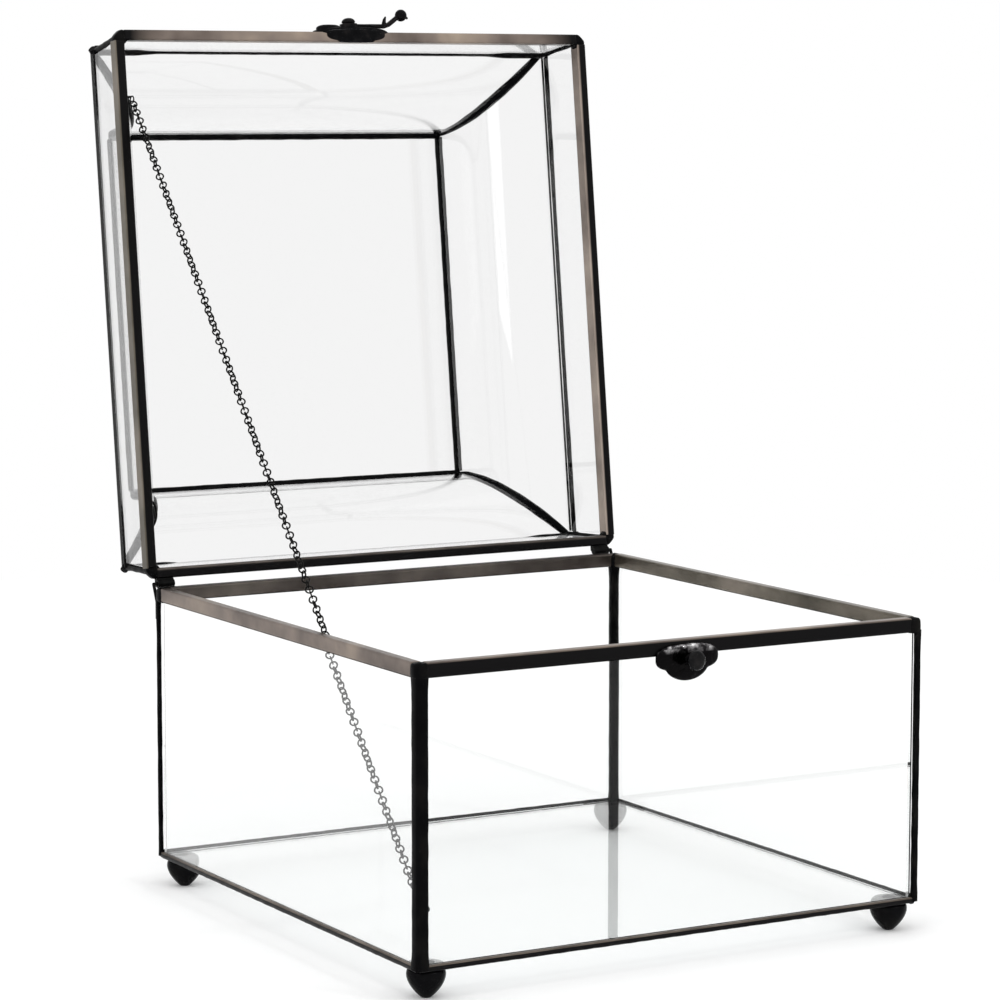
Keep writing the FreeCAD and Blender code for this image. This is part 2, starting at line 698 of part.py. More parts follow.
def hook_shape():
    """Arm in the pivot's frame: X along the arm, Y up, Z out of the lid's face."""
    play = size("hook_play")
    thick = size("hook_thick")
    w = size("hook_width")
    reach = size("hook_reach")
    eye = Part.makeCylinder(size("hook_eye_radius"), thick, V(0, 0, play))
    arm = Part.makeBox(reach, w, thick, V(0, -w / 2, play))
    tip = V(size("hook_tail_reach"), 0, play + thick / 2 + size("hook_tail_out"))
    root = V(reach - w / 2, 0, play + thick / 2)
    tail = Part.makeCylinder(size("hook_tail_radius"), root.distanceToPoint(tip), root, tip - root)
    ball = Part.makeSphere(size("hook_ball_radius"), tip)
    prong = Part.makeCone(size("hook_tail_radius"), size("hook_prong_tip"), size("hook_prong_height"),
                          V(size("hook_prong_at") - size("hook_tail_radius"), 0, play + thick / 2))
    shape = eye.fuse([arm, tail, ball, prong])
    bore = Part.makeCylinder(size("latch_stud_radius") + play / 2, thick + 2 * play, V(0, 0, 0))
    # Notch for the knob's neck, where the neck stands when the hook is swung down.
    down = math.radians(size("latch_turn"))
    dx = size("catch_x") - size("latch_x")
    dz = -(size("catch_drop") + size("lid_gap") + size("latch_up"))
    nx = dx * math.cos(down) - dz * math.sin(down)
    ny = dx * math.sin(down) + dz * math.cos(down)
    notch = Part.makeCylinder(size("catch_neck_radius") + play, 4 * thick, V(nx, ny, -thick))
    return shape.cut(bore).cut(notch).removeSplitter()


solid("latch_hook", hook_shape(), LID.multiply(FreeCAD.Placement(PIVOT, FACING)))

# Chain stay: round links from an eye on the lid's left rail to an eye on the base's front left post
UPPER = LID.multVec(V(-HX + size("chain_lid_in"), -HY + size("chain_lid_along"), size("chain_lid_up")))
LOWER = V(-number("base_width / 2 - chain_base_in"), -number("base_depth / 2 - chain_base_in"),
          number("foot_height + chain_base_up"))
WAY = (UPPER - LOWER).normalize()
SPAN = UPPER.distanceToPoint(LOWER)
COUNT = int(round(SPAN / size("link_pitch")))
RING = size("link_outer") / 2 - size("link_wire") / 2


def link(step):
    """One round link: every second link stands across, and the whole chain twists slowly."""
    turn = FreeCAD.Rotation(V(0, 0, 1), WAY)
    roll = FreeCAD.Rotation(V(0, 0, 1), 90.0 * (step % 2) + size("link_twist") * step)
    upright = FreeCAD.Rotation(V(1, 0, 0), 90)
    ring = Part.makeTorus(RING, size("link_wire") / 2)
    ring.Placement = FreeCAD.Placement(LOWER + WAY * (SPAN * step / COUNT), turn.multiply(roll).multiply(upright))
    return ring


solid("stay_chain", Part.makeCompound([link(step) for step in range(1, COUNT)]), BASE)
lower_end = LOWER - WAY * RING
diagonal = V(-1, -1, 0).normalize()
face_gap = number("(2 * post_leg - post_flat + 2 * fit) / sqrt(2)")
corner_spot = V(-number("base_width / 2"), -number("base_depth / 2"), 0)
run = (lower_end - corner_spot).dot(diagonal * -1) - face_gap
stem = Part.makeCylinder(size("stem_radius"), run, lower_end, diagonal)
solid("chain_eye_base", link(0).fuse(stem).removeSplitter(), BASE)
upper_end = UPPER + WAY * RING
run = upper_end.x + HX - size("rail_thick") - FIT
stem = Part.makeCylinder(size("stem_radius"), run, upper_end, V(-1, 0, 0))
solid("chain_eye_lid", link(COUNT).fuse(stem).removeSplitter(), BASE)


# Spare wire staple inside the lid's left rail, near the hinge
def staple():
    x = -HX + size("rail_thick") + FIT
    y = HY - size("staple_at")
    z = size("staple_up")
    half = size("staple_span") / 2
    path = Part.Wire([Part.Arc(V(x, y - half, z), V(x + size("staple_rise"), y, z), V(x, y + half, z)).toShape()])
    start = path.Edges[0].tangentAt(path.Edges[0].FirstParameter)
    ring = Part.Wire([Part.makeCircle(size("staple_radius"), V(x, y - half, z), start)])
    wire = path.makePipeShell([ring], True, False)
    front = Part.makeBox(HX, 2 * HY, 2 * size("rail_height"), V(x, -HY, 0))
    return wire.common(front)


solid("lid_staple", staple(), LID)

# The row's origin: middle of the open box's length and width, on the floor
FRONT = FACE_Y - number("catch_thick + %s + catch_head_height" % NECK)
BACK = LID.multVec(V(0, -HY + number("top_inset_front - seam_proud"), number("lid_height + fit"))).y
MIDDLE = FreeCAD.Placement(V(0, -(FRONT + BACK) / 2, 0), FreeCAD.Rotation())
for node in nodes:
    node.Placement = MIDDLE.multiply(node.Placement)

doc.recompute()
for thing in doc.Objects:
    if "Invalid" in thing.State or "Error" in thing.State:
        raise RuntimeError("failed: " + thing.Label)
os.makedirs("parts", exist_ok=True)
for node in nodes:
    shape = node.Shape
    if shape.isNull() or not shape.isValid() or not shape.Solids:
        raise RuntimeError("bad shape: " + node.Label)
for node in nodes:
    node.Shape.exportStep("parts/%s.step" % node.Label)
print(len(nodes), "nodes, chain", COUNT, "links over", round(SPAN, 1), "mm, moved", -(FRONT + BACK) / 2)
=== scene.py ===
import bpy
import bmesh
import json
import math
from mathutils import Matrix, Vector, noise


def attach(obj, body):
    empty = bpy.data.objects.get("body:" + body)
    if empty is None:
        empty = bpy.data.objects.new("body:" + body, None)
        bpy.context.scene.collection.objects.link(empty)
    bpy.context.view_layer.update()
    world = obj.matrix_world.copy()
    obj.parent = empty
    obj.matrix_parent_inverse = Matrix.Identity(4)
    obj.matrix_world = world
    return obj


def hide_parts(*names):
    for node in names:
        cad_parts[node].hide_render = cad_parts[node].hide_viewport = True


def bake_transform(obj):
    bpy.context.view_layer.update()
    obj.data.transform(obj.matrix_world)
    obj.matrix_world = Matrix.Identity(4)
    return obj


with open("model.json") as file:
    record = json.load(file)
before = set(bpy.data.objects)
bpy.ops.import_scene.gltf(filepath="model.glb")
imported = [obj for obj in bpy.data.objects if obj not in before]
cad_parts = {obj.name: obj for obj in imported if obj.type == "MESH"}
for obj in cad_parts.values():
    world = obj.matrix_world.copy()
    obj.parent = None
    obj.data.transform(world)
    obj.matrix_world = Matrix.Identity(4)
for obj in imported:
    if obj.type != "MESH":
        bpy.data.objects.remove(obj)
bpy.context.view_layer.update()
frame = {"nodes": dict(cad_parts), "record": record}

# Sizes of the card box in millimetres, as in the part's own sheet
MM = 0.001
BASE_HALF = 128.0
RIM_TOP = 142.5
RAIL_HEIGHT = 6.5
SILL_TOP = 15.6
GLASS = 2.5
LID_HALF = 130.0
LID_LOW = 142.8
HINGE_Y = 132.5
HINGE_Z = 143.3
OPEN_ANGLE = 97.0
SKIRT_TOP = 35.4
SHOULDER_IN = 3.7
SEAM_HALF = 0.7
COVE_TOP = 89.9
COVE_SAG = 10.0
TOP_INSET = {"front": 40.9, "back": 40.9, "left": 36.7, "right": 36.7}
COVE_INSET = {"front": 38.4, "back": 38.4, "left": 36.7, "right": 36.7}
CORNERS = {"front_left": (-1, -1), "front_right": (1, -1), "back_left": (-1, 1), "back_right": (1, 1)}
SIDES = ("front", "back", "left", "right")

HINGE = Matrix.Translation((0, HINGE_Y, HINGE_Z))
ROW_ORIGIN_Y = 57.0408
STANDING = Matrix.Translation((0, -ROW_ORIGIN_Y, 0))
SWUNG = HINGE @ Matrix.Rotation(math.radians(-OPEN_ANGLE), 4, "X") @ HINGE.inverted()
LID = STANDING @ SWUNG @ Matrix.Translation((0, 0, LID_LOW))


# Shader groups and finishes
def links_in(tree):
    return tree.nodes, tree.links


def mottle_group():
    """Uneven patina: a slow cloud, a fine grain and their sum as a height."""
    tree = bpy.data.node_groups.new("patina_mottle", "ShaderNodeTree")
    face = tree.interface
    for word, value in (("Cloud Scale", 60.0), ("Grain Scale", 600.0), ("Contrast", 0.5)):
        face.new_socket(word, in_out="INPUT", socket_type="NodeSocketFloat").default_value = value
    face.new_socket("Cloud", in_out="OUTPUT", socket_type="NodeSocketFloat")
    face.new_socket("Grain", in_out="OUTPUT", socket_type="NodeSocketFloat")
    face.new_socket("Height", in_out="OUTPUT", socket_type="NodeSocketFloat")
    nodes, links = links_in(tree)
    given = nodes.new("NodeGroupInput")
    out = nodes.new("NodeGroupOutput")
    place = nodes.new("ShaderNodeTexCoord")
    cloud = nodes.new("ShaderNodeTexNoise")
    cloud.inputs["Detail"].default_value = 4.0
    grain = nodes.new("ShaderNodeTexNoise")
    grain.inputs["Detail"].default_value = 3.0
    for texture, word in ((cloud, "Cloud Scale"), (grain, "Grain Scale")):
        links.new(place.outputs["Object"], texture.inputs["Vector"])
        links.new(given.outputs[word], texture.inputs["Scale"])
    spread = nodes.new("ShaderNodeMapRange")
    low = nodes.new("ShaderNodeMath")
    low.operation = "MULTIPLY"
    low.inputs[1].default_value = 0.5
    links.new(given.outputs["Contrast"], low.inputs[0])
    links.new(low.outputs[0], spread.inputs["From Min"])
    high = nodes.new("ShaderNodeMath")
    high.operation = "SUBTRACT"
    high.inputs[0].default_value = 1.0
    links.new(low.outputs[0], high.inputs[1])
    links.new(high.outputs[0], spread.inputs["From Max"])
    links.new(cloud.outputs["Fac"], spread.inputs["Value"])
    total = nodes.new("ShaderNodeMath")
    total.operation = "MULTIPLY_ADD"
    total.inputs[1].default_value = 0.35
    links.new(grain.outputs["Fac"], total.inputs[0])
    links.new(spread.outputs["Result"], total.inputs[2])
    links.new(spread.outputs["Result"], out.inputs["Cloud"])
    links.new(grain.outputs["Fac"], out.inputs["Grain"])
    links.new(total.outputs[0], out.inputs["Height"])
    return tree


MOTTLE = mottle_group()


def finish(name):
    mat = bpy.data.materials.new(name)
    mat.use_nodes = True
    nodes, links = links_in(mat.node_tree)
    return mat, nodes, links, nodes["Principled BSDF"]


def ramp(nodes, links, source, stops):
    """Colours along a value: stops are (place, colour)."""
    band = nodes.new("ShaderNodeValToRGB")
    while len(band.color_ramp.elements) < len(stops):
        band.color_ramp.elements.new(0.5)
    for element, (place, colour) in zip(band.color_ramp.elements, stops):
        element.position = place
        element.color = (*colour, 1.0)
    links.new(source, band.inputs["Fac"])
    return band.outputs["Color"]


def spread(nodes, links, source, low, high):
    """Maps a value from 0..1 to low..high."""
    span = nodes.new("ShaderNodeMapRange")
    span.inputs["To Min"].default_value = low
    span.inputs["To Max"].default_value = high
    links.new(source, span.inputs["Value"])
    return span.outputs["Result"]


# Near-black laid by the coordinate masks: painted shade on the rails, and the real black patina of the catch
# and the bottom seams
DARK_PATINA_AND_PAINTED_SHADE = (0.0045, 0.0042, 0.0045)


def painted_light_mask(nodes, links, axis, dark_at, light_at):
    """A mask of painted light and shade, by the size of one of the piece's coordinates: 0 where the
    near-black is laid (painted shade on the rails, black patina on the catch and seams), 1 where the mottled
    colour shows (painted light on the seams' tops, painted glints on the catch's top).
    """
    place = nodes.new("ShaderNodeTexCoord")
    parts = nodes.new("ShaderNodeSeparateXYZ")
    links.new(place.outputs["Object"], parts.inputs[0])
    far = nodes.new("ShaderNodeMath")
    far.operation = "ABSOLUTE"
    links.new(parts.outputs[axis], far.inputs[0])
    fade = nodes.new("ShaderNodeMapRange")
    fade.inputs["From Min"].default_value = dark_at
    fade.inputs["From Max"].default_value = light_at
    links.new(far.outputs[0], fade.inputs["Value"])
    return fade.outputs["Result"]


def metal(name, colours, rough, metallic, clouds, grains, bump, gloss=0.5, coat=0.0, painted_light=None,
          contrast=0.5):
    """A patinated metal, colours from dark cloud to light. The optional (axis, dark_at, light_at) lays
    painted shade and painted light over it by one coordinate.
    """
    mat, nodes, links, shader = finish(name)
    group = nodes.new("ShaderNodeGroup")
    group.node_tree = MOTTLE
    group.inputs["Cloud Scale"].default_value = clouds
    group.inputs["Grain Scale"].default_value = grains
    group.inputs["Contrast"].default_value = contrast
    places = [i / (len(colours) - 1) for i in range(len(colours))]
    colour = ramp(nodes, links, group.outputs["Cloud"], list(zip(places, colours)))
    # Painted light and shade by one coordinate: near-black on one side, the mottled colour on the other
    if painted_light:
        blend = nodes.new("ShaderNodeMix")
        blend.data_type = "RGBA"
        links.new(painted_light_mask(nodes, links, *painted_light), blend.inputs[0])
        blend.inputs[6].default_value = (*DARK_PATINA_AND_PAINTED_SHADE, 1.0)
        links.new(colour, blend.inputs[7])
        colour = blend.outputs[2]
    links.new(colour, shader.inputs["Base Color"])
    links.new(spread(nodes, links, group.outputs["Grain"], *rough), shader.inputs["Roughness"])
    shader.inputs["Metallic"].default_value = metallic
    shader.inputs["Specular IOR Level"].default_value = gloss
    shader.inputs["Coat Weight"].default_value = coat
    shader.inputs["Coat Roughness"].default_value = 0.12
    lump = nodes.new("ShaderNodeBump")
    lump.inputs["Strength"].default_value = bump
    lump.inputs["Distance"].default_value = 0.0004
    links.new(group.outputs["Height"], lump.inputs["Height"])
    links.new(lump.outputs["Normal"], shader.inputs["Normal"])
    return mat


def clear_glass(name, tint, bend=1.46):
    """Glass with faint smears. Lamps and the floor's own light reach through it."""
    mat, nodes, links, shader = finish(name)
    shader.inputs["Base Color"].default_value = (*tint, 1.0)
    shader.inputs["Transmission Weight"].default_value = 1.0
    shader.inputs["IOR"].default_value = bend
    group = nodes.new("ShaderNodeGroup")
    group.node_tree = MOTTLE
    group.inputs["Cloud Scale"].default_value = 14.0
    group.inputs["Grain Scale"].default_value = 90.0
    links.new(spread(nodes, links, group.outputs["Cloud"], 0.0, 0.012), shader.inputs["Roughness"])
    rays = nodes.new("ShaderNodeLightPath")
    through = nodes.new("ShaderNodeBsdfTransparent")
    through.inputs["Color"].default_value = (0.98, 0.985, 0.985, 1.0)
    either = nodes.new("ShaderNodeMath")
    either.operation = "MAXIMUM"
    links.new(rays.outputs["Is Shadow Ray"], either.inputs[0])
    links.new(rays.outputs["Is Diffuse Ray"], either.inputs[1])
    pick = nodes.new("ShaderNodeMixShader")
    links.new(either.outputs[0], pick.inputs["Fac"])
    links.new(shader.outputs["BSDF"], pick.inputs[1])
    links.new(through.outputs["BSDF"], pick.inputs[2])
    links.new(pick.outputs["Shader"], nodes["Material Output"].inputs["Surface"])
    return mat


# The bronze's own colours (BROWN), and darker and paler copies of it that stand for painted shade and painted
# light on single rails
BROWN = [(0.100, 0.080, 0.070), (0.205, 0.166, 0.142), (0.340, 0.275, 0.218)]
TAUPE_PAINTED_SHADE = [(0.060, 0.052, 0.041), (0.120, 0.106, 0.084), (0.200, 0.172, 0.142)]
OLIVE_PAINTED_SHADE = [(0.036, 0.030, 0.026), (0.068, 0.058, 0.052), (0.110, 0.095, 0.082)]
PALE_PAINTED_LIGHT = [(0.190, 0.156, 0.135), (0.310, 0.258, 0.222), (0.430, 0.360, 0.305)]


def bronze(name, colours, painted_light=None):
    return metal(name, colours, (0.26, 0.42), 0.9, 26.0, 420.0, 0.2, painted_light=painted_light, contrast=0.66)


FINISH = {
    "clear_glass": clear_glass("clear_glass", (0.985, 0.99, 0.988)),
    "bronze_channel": bronze("bronze_channel", BROWN),
    "black_solder": metal(
        "black_solder", [(0.0015, 0.0015, 0.0020), (0.0028, 0.0028, 0.0032), (0.0080, 0.0075, 0.0070)],
        (0.22, 0.42), 0.0, 90.0, 700.0, 0.35, 0.02),
    "black_wire": metal(
        "black_wire", [(0.002, 0.002, 0.002), (0.004, 0.004, 0.004), (0.012, 0.011, 0.010)],
        (0.28, 0.44), 0.2, 160.0, 900.0, 0.15, 0.05),
    "cast_fittings": metal(
        "cast_fittings", [(0.002, 0.002, 0.0025), (0.004, 0.004, 0.0045), (0.016, 0.014, 0.014)],
        (0.08, 0.22), 0.1, 180.0, 900.0, 0.5, 0.03, 0.02),
    "black_feet": metal(
        "black_feet", [(0.0015, 0.0015, 0.002), (0.003, 0.003, 0.0035), (0.007, 0.0065, 0.006)],
        (0.12, 0.26), 0.0, 70.0, 800.0, 0.15, 0.03, 0.02),
}
LID_GLASS = clear_glass("lid_glass", (0.90, 0.90, 0.90))
FRONT_GLASS = clear_glass("front_glass", (0.985, 0.99, 0.988), 1.22)
# Front and left bottom seams: black below a height and brownish above, where the top is painted lighter as if
# lit from above
SILL_FINISH = metal(
    "sill_solder_painted_top_light", [(0.050, 0.040, 0.033), (0.130, 0.108, 0.090), (0.220, 0.185, 0.155)],
    (0.26, 0.42), 0.3, 40.0, 600.0, 0.3, 0.1, painted_light=("Z", 0.01485, 0.01515))
# Rails in darker or paler copies of the bronze, as painted shade or painted light. The base back and right
# rails and the lid back and left rails are darker, and the lid right rail is paler. Painted near-black as
# shade: the base front rail's front face, the lid back rail below a height, the lid left rail inside its
# outer face, and the lid right rail's outer face. The lid front rail is painted near-black toward its ends.
RAIL_FINISH = {
    "base_rim_back": bronze("bronze_back_rail_painted_shade", OLIVE_PAINTED_SHADE),
    "base_rim_right": bronze("bronze_right_rail_painted_shade", TAUPE_PAINTED_SHADE),
    "base_rim_front": bronze("bronze_front_rail_painted_shade", BROWN, ("Z", 0.1417, 0.1424)),
    "lid_rim_front": bronze("bronze_lid_front_painted_shade", BROWN, ("X", 0.122, 0.104)),
    "lid_rim_back": bronze("bronze_lid_back_painted_shade", OLIVE_PAINTED_SHADE, ("Z", 0.1493, 0.1501)),
    "lid_rim_left": bronze("bronze_lid_left_painted_shade", TAUPE_PAINTED_SHADE, ("X", 0.1292, 0.1299)),
    "lid_rim_right": bronze("bronze_lid_right_painted_light_and_shade", PALE_PAINTED_LIGHT, ("X", 0.1263, 0.1256)),
}
# The catch plate is near-black, with patches of pale silver above a height that are painted glints along its
# top edge
CATCH_FINISH = metal(
    "catch_painted_glints",
    [(0.004, 0.004, 0.0045), (0.020, 0.019, 0.020), (0.300, 0.290, 0.295), (0.750, 0.740, 0.745)],
    (0.10, 0.26), 0.9, 240.0, 900.0, 0.6, 0.1, painted_light=("Z", 0.1368, 0.1400), contrast=0.7)
KNOB_FINISH = metal(
    "glossy_knob", [(0.002, 0.002, 0.0025), (0.004, 0.004, 0.0045), (0.012, 0.011, 0.011)],
    (0.05, 0.14), 0.1, 180.0, 900.0, 0.3, 0.05, 0.08)
SLOT = {row["node"]: row["material_slot"] for row in frame["record"]["subparts"]}


# The CAD nodes that stay: a finish, and softened edges on the metal
for node, thing in frame["nodes"].items():
    thing.data.materials.clear()
    thing.data.materials.append(RAIL_FINISH.get(node, FINISH[SLOT[node]]))
    if node.startswith("lid_") and SLOT[node] == "clear_glass":
        thing.data.materials[0] = LID_GLASS
    if node == "base_front_glass":
        thing.data.materials[0] = FRONT_GLASS
    if SLOT[node] == "bronze_channel" or node.startswith("hinge_tube"):
        weld = thing.modifiers.new("weld", "WELD")
        weld.merge_threshold = 0.00001
        soften = thing.modifiers.new("soften", "BEVEL")
        soften.width = 0.0009
        soften.segments = 3
        soften.limit_method = "ANGLE"
        soften.angle_limit = math.radians(40)


def finished(name, bm, body, slot, nodes, place=STANDING, sharp=40.0, look=None):
    """Turns a mesh in millimetres into a piece of the object, in the row's frame."""
    bmesh.ops.remove_doubles(bm, verts=bm.verts, dist=0.001)
    bmesh.ops.recalc_face_normals(bm, faces=bm.faces)
    mesh = bpy.data.meshes.new(name)
    bm.to_mesh(mesh)
    bm.free()
    mesh.transform(Matrix.Scale(MM, 4) @ place)
    mesh.polygons.foreach_set("use_smooth", [True] * len(mesh.polygons))
    mesh.set_sharp_from_angle(angle=math.radians(sharp))
    mesh.materials.append(look or FINISH[slot])
    piece = bpy.data.objects.new(name, mesh)
    bpy.context.scene.collection.objects.link(piece)
    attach(piece, body)
    if nodes:
        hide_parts(*nodes)
    return piece


def skin(bm, rings, closed=False):
    """Faces between rings of as many points. The end rings are closed with a point at their middle."""
    rows = [[bm.verts.new(p) for p in ring] for ring in rings]
    count = len(rows[0])
    pairs = list(zip(rows, rows[1:]))
    if closed:
        pairs.append((rows[-1], rows[0]))
    for low, high in pairs:
        for i in range(count):
            j = (i + 1) % count
            bm.faces.new((low[i], low[j], high[j], high[i]))
    if not closed:
        for row in (rows[0], rows[-1]):
            middle = bm.verts.new(sum((v.co for v in row), Vector()) / count)
            for i in range(count):
                bm.faces.new((row[i], row[(i + 1) % count], middle))


def lump(spot, scale, amount):
    """Uneven solder: a smooth wander between -amount and amount."""
    return amount * noise.noise(Vector(spot) / scale)


def squircle(count, power):
    """A round-cornered square of half width 1."""
    points = []
    for i in range(count):
        angle = 2 * math.pi * i / count
        c, s = math.cos(angle), math.sin(angle)
        points.append((math.copysign(abs(c) ** (2 / power), c), math.copysign(abs(s) ** (2 / power), s)))
    return points


def bead(bm, path, wide, tall, across, up, power=2.0, count=14, rough=0.2, scale=7.0):
    """A run of solder along a path. wide and tall give half sizes from the run's share of its length."""
    outline = squircle(count, power)
    total = sum((b - a).length for a, b in zip(path, path[1:]))
    run = 0.0
    rings = []
    for k, spot in enumerate(path):
        if k:
            run += (spot - path[k - 1]).length
        share = run / total
        ring = []
        for a, b in outline:
            edge = spot + across[k] * (a * wide(share)) + up[k] * (b * tall(share))
            out = (edge - spot).normalized()
            ring.append(edge + out * lump(edge, scale, rough))
        rings.append(ring)
    skin(bm, rings)


def between(a, b, steps):
    return [a.lerp(b, i / steps) for i in range(steps + 1)]


# Base: soldered corner posts and the rounded corners of the rim
POST_HALF = {"front_left": 3.0, "front_right": 1.3, "back_left": 1.0, "back_right": 2.9}
POST_PROUD = {"front_left": -0.15, "front_right": 0.15, "back_left": 0.15, "back_right": -0.15}
X, Y, Z = Vector((1, 0, 0)), Vector((0, 1, 0)), Vector((0, 0, 1))
for corner, (sx, sy) in CORNERS.items():
    half = POST_HALF[corner]
    inset = half - POST_PROUD[corner]
    foot = Vector((sx * (BASE_HALF - inset), sy * (BASE_HALF - inset), SILL_TOP - 2.0))
    head = Vector((foot.x, foot.y, RIM_TOP - RAIL_HEIGHT + 1.0))
    path = between(foot, head, 60)
    post = bmesh.new()

    def swell(share, half=half):
        return half * (1 + 0.16 * max(0.0, 1 - share / 0.06) + 0.12 * max(0.0, 1 - (1 - share) / 0.05))

    bead(post, path, swell, swell, [X * sx] * len(path), [Y * sy] * len(path), 4.0, 24, 0.16, 6.0)
    finished("base_post_%s_bead" % corner, post, "base", "black_solder", ["base_post_%s" % corner])

SEAM_WIDE = 1.6
SEAM_INSET = 1.7
# Middle height and half height of each seam: the far ones also lie on the bottom pane
BOTTOM_SEAM = {"front": (14.15, 1.4), "left": (14.15, 1.4), "back": (14.4, 2.3), "right": (14.4, 2.3)}
for side in SIDES:
    reach = BASE_HALF - SEAM_INSET
    seam = bmesh.new()
    height, tall = BOTTOM_SEAM[side]
    turn = {"front": 0, "right": 1, "back": 2, "left": 3}[side]
    spin = Matrix.Rotation(math.pi / 2 * turn, 4, "Z")
    path = [spin @ p for p in between(Vector((-reach, -reach, height)), Vector((reach, -reach, height)), 120)]
    bead(seam, path, lambda share: SEAM_WIDE, lambda share, tall=tall: tall,
         [spin @ Y] * len(path), [Z] * len(path), 3.4, 14, 0.16, 4.0)
    finished("base_sill_%s_seam" % side, seam, "base", "black_solder", ["base_sill_%s" % side],
             look=SILL_FINISH if tall < 2.0 else None)

caps = bmesh.new()
for sx, sy in CORNERS.values():
    low = Vector((sx * (BASE_HALF - 3.0), sy * (BASE_HALF - 3.0), RIM_TOP - RAIL_HEIGHT - 0.9))
    high = Vector((low.x, low.y, RIM_TOP + 0.15))
    path = between(low, high, 14)

    def blob(share):
        return 3.3 * (1 - abs(2 * share - 1) ** 5) ** 0.35 + 0.2

    bead(caps, path, blob, blob, [X] * len(path), [Y] * len(path), 3.2, 24, 0.12, 4.0)
finished("base_rim_corner_solder", caps, "base", "black_solder", ["base_rim_corners"])

# Base: turned feet
FOOT_AT = 118.8
FOOT_OUTLINE = [
    (0.0, 0.0), (1.9, 0.0), (2.3, 0.15), (3.3, 1.0), (4.5, 2.2), (5.6, 3.5), (6.6, 4.9), (7.4, 6.3),
    (7.95, 7.6), (8.3, 8.9), (8.4, 10.1), (8.25, 11.2), (7.8, 12.1), (7.0, 12.7),
    (3.4, 12.85), (3.4, 13.2), (0.0, 13.2)]


def turn_outline(bm, outline, steps, place):
    """A turned shape from (radius, height) points; the first and last lie on the axis."""
    rings = []
    for radius, height in outline[1:-1]:
        ring = []
        for i in range(steps):
            angle = 2 * math.pi * i / steps
            ring.append(place @ Vector((radius * math.cos(angle), radius * math.sin(angle), height)))
        rings.append(ring)
    skin(bm, rings)


for corner, (sx, sy) in CORNERS.items():
    foot = bmesh.new()
    turn_outline(foot, FOOT_OUTLINE, 48, Matrix.Translation((sx * FOOT_AT, sy * FOOT_AT, 0)))
    finished("foot_%s_turned" % corner, foot, "base", "black_feet", ["foot_%s" % corner])


# Lid: bowed cove panes
def cove_arc(inset):
    a = Vector((SHOULDER_IN, SKIRT_TOP + SEAM_HALF + GLASS))
    b = Vector((inset, COVE_TOP))
    along = (b - a).normalized()
    half = (b - a).length / 2
    radius = (half * half + COVE_SAG * COVE_SAG) / (2 * COVE_SAG)
    centre = (a + b) / 2 + Vector((-along.y, along.x)) * (radius - COVE_SAG)
    start = math.atan2(a.y - centre.y, a.x - centre.x)
    stop = math.atan2(b.y - centre.y, b.x - centre.x)
    return centre, radius, start, stop


COVE_STEPS = 28
EDGE_GAP = 0.7


def cove_rows(side):
    """(share of the inset, outer point, inner point) up the cove, points in (inset, height)."""
    centre, radius, start, stop = cove_arc(COVE_INSET[side])
    rows = []
    for k in range(COVE_STEPS + 1):
        angle = start + (stop - start) * k / COVE_STEPS
        way = Vector((math.cos(angle), math.sin(angle)))
        outer, inner = centre + way * radius, centre + way * (radius + GLASS)
        rows.append(((outer.x - SHOULDER_IN) / (COVE_INSET[side] - SHOULDER_IN), outer, inner))
    return rows


def on_side(side, along, inset, height):
    """A point from its side's own measures to the lid's frame."""
    out = LID_HALF - inset
    if side == "front":
        return Vector((along, -out, height))
    if side == "back":
        return Vector((along, out, height))
    if side == "left":
        return Vector((-out, along, height))
    return Vector((out, along, height))


for side in SIDES:
    across = COVE_INSET["left" if side in ("front", "back") else "front"]
    pane = bmesh.new()
    rings = []
    for share, outer, inner in cove_rows(side):
        reach = LID_HALF - (SHOULDER_IN + share * (across - SHOULDER_IN)) - EDGE_GAP
        low, high = min(inner.y, COVE_TOP), min(outer.y, COVE_TOP)
        rings.append([
            on_side(side, -reach, outer.x, high), on_side(side, reach, outer.x, high),
            on_side(side, reach, inner.x, low), on_side(side, -reach, inner.x, low)])
    rows = [[pane.verts.new(p) for p in ring] for ring in rings]
    for first, second in zip(rows, rows[1:]):
        for i in range(4):
            j = (i + 1) % 4
            pane.faces.new((first[i], first[j], second[j], second[i]))
    pane.faces.new(rows[0])
    pane.faces.new(rows[-1])
    finished("lid_cove_%s_pane" % side, pane, "lid", "clear_glass", ["lid_cove_glass_%s" % side], LID,
             look=LID_GLASS)

# Lid: hip seams, thicker in the middle
for corner, (sx, sy) in CORNERS.items():
    path, wide_way, up_way = [], [], []
    side_rows, front_rows = cove_rows("right"), cove_rows("front")
    for (share, outer, inner), (_, outer_f, inner_f) in zip(side_rows, front_rows):
        height = (outer.y + inner.y + outer_f.y + inner_f.y) / 4
        nx = (outer.x + inner.x) / 2
        ny = (outer_f.x + inner_f.x) / 2
        path.append(Vector((sx * (LID_HALF - nx), sy * (LID_HALF - ny), height)))
    for k in range(len(path)):
        ahead = path[min(k + 1, len(path) - 1)] - path[max(k - 1, 0)]
        flat = Vector((sx, -sy, 0)).normalized()
        wide_way.append(flat)
        up_way.append(ahead.normalized().cross(flat))

    def hip_wide(share):
        return 1.75 + 1.1 * math.sin(math.pi * share) ** 0.8

    def hip_tall(share):
        return 1.9 + 0.5 * math.sin(math.pi * share)

    hip = bmesh.new()
    bead(hip, path, hip_wide, hip_tall, wide_way, up_way, 2.4, 16, 0.22, 6.0)
    finished("lid_hip_%s_bead" % corner, hip, "lid", "black_solder", ["lid_hip_%s" % corner], LID)


# Lid: beads of solder along the top pane, the shoulder and the skirt's corners
def lid_run(side, inset, ends, height, steps):
    """A straight path along one side of the lid."""
    reach = LID_HALF - ends
    return between(on_side(side, -reach, inset, height), on_side(side, reach, inset, height), steps)


INWARD = {"front": Y, "back": -Y, "left": X, "right": -X}
